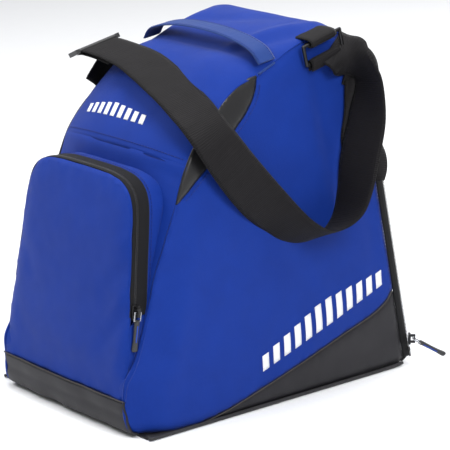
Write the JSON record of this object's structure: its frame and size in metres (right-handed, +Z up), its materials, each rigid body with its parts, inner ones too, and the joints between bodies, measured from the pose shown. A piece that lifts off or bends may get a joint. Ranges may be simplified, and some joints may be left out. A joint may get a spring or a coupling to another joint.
{
  "type": "ski boot bag",
  "caption": "Leaning fabric boot bag with a zipped rear door, a zipped front pocket, a haul handle and a webbing shoulder strap on hanging rings.",
  "frame": {"origin": "middle of the flat underside of the base, on the surface it stands on", "axes": "+Z up, -Y towards the front pocket, +X towards the side with the main zip's slider"},
  "size_m": [0.328, 0.4327, 0.3999],
  "materials": {
    "blue_fabric": "woven polyester with a soft satin sheen",
    "coated_fabric": "coated black polyester, slightly glossy",
    "dark_fabric": "charcoal coated base fabric, matte",
    "webbing": "cross-ribbed black polypropylene webbing",
    "handle_webbing": "blue-grey webbing",
    "piping": "grey-black piping cord cover",
    "zip_tape": "fine woven black tape",
    "zip_coil": "black nylon coil",
    "black_metal": "black enamel over die-cast zinc",
    "wire": "dark plated wire",
    "black_plastic": "moulded black acetal",
    "board": "grey stiffener board"
  },
  "bodies": {
    "bag": {"base_panel": "dark_fabric", "base_board": "board", "front_base_band": "dark_fabric", "rear_base_band": "dark_fabric", "side_panel_right": "blue_fabric", "side_panel_left": "blue_fabric", "side_wedge_right": "dark_fabric", "side_wedge_left": "dark_fabric", "shoulder_insert_right": "coated_fabric", "shoulder_insert_left": "coated_fabric", "front_panel": "blue_fabric", "yoke_panel": "blue_fabric", "pocket_face_lower": "blue_fabric", "pocket_gusset": "blue_fabric", "pocket_zip_tape_body": "zip_tape", "pocket_zip_coil_body": "zip_coil", "pocket_zip_stops": "black_metal", "main_zip_tape_body": "zip_tape", "main_zip_coil_body": "zip_coil", "main_zip_stops": "black_metal", "piping_right": "piping", "piping_left": "piping", "ring_tab_right": "webbing", "ring_tab_left": "webbing", "handle_anchors": "webbing"},
    "rear_door": {"rear_door_panel": "blue_fabric", "main_zip_tape_door": "zip_tape", "main_zip_coil_door": "zip_coil"},
    "main_slider": {"main_slider": "black_metal"},
    "main_puller": {"main_puller_bail": "wire", "main_puller_tab": "webbing"},
    "pocket_flap": {"pocket_face_upper": "blue_fabric", "pocket_zip_tape_flap": "zip_tape", "pocket_zip_coil_flap": "zip_coil"},
    "pocket_slider": {"pocket_slider": "black_metal"},
    "pocket_puller": {"pocket_puller_bail": "wire", "pocket_puller_tab": "webbing"},
    "ring_right": {"ring_right": "black_metal", "ring_loop_right": "webbing"},
    "ring_left": {"ring_left": "black_metal", "ring_loop_left": "webbing"},
    "strap": {"strap_outer_run": "webbing", "strap_inner_run": "webbing", "strap_tail": "webbing", "strap_far_run": "webbing", "strap_triglide": "black_plastic"},
    "haul_handle": {"haul_handle": "handle_webbing"}
  },
  "joints": [
    {"name": "door_fold", "type": "hinge", "parent": "bag", "child": "rear_door", "pos_m": [0, 0.1985, 0.0128], "axis": [-1, 0, 0], "range_deg": [0, 95]},
    {"name": "main_zip_slide", "type": "slide", "parent": "bag", "child": "main_slider", "axis": [-0.0817, -0.1536, 0.9848], "range_m": [0, 0.22]},
    {"name": "main_puller_swing", "type": "hinge", "parent": "main_slider", "child": "main_puller", "pos_m": [0.1318, 0.1962, 0.03], "axis": [0.7771, -0.6293, 0], "range_deg": [-6, 100]},
    {"name": "pocket_fold", "type": "hinge", "parent": "bag", "child": "pocket_flap", "pos_m": [0, -0.1915, 0.128], "axis": [1, 0, 0], "range_deg": [0, 75]},
    {"name": "pocket_zip_slide", "type": "slide", "parent": "bag", "child": "pocket_slider", "axis": [-0.0938, 0.1293, 0.9872], "range_m": [0, 0.085]},
    {"name": "pocket_puller_swing", "type": "hinge", "parent": "pocket_slider", "child": "pocket_puller", "pos_m": [0.1068, -0.182, 0.134], "axis": [0, -0.9915, 0.1299], "range_deg": [0, 165]},
    {"name": "ring_swing_right", "type": "hinge", "parent": "bag", "child": "ring_right", "pos_m": [0.106, 0.072, 0.389], "axis": [0, -0.9659, -0.2588], "range_deg": [-2, 8]},
    {"name": "ring_swing_left", "type": "hinge", "parent": "bag", "child": "ring_left", "pos_m": [-0.106, 0.072, 0.38], "axis": [0, 0.9659, 0.2588], "range_deg": [-2, 8]},
    {"name": "strap_lift", "type": "hinge", "parent": "bag", "child": "strap", "pos_m": [0, 0.0774, 0.3687], "axis": [-1, 0, 0], "range_deg": [0, 100]},
    {"name": "handle_tip", "type": "hinge", "parent": "bag", "child": "haul_handle", "pos_m": [0, -0.007, 0.363], "axis": [1, 0, 0], "range_deg": [0, 32]}
  ]
}
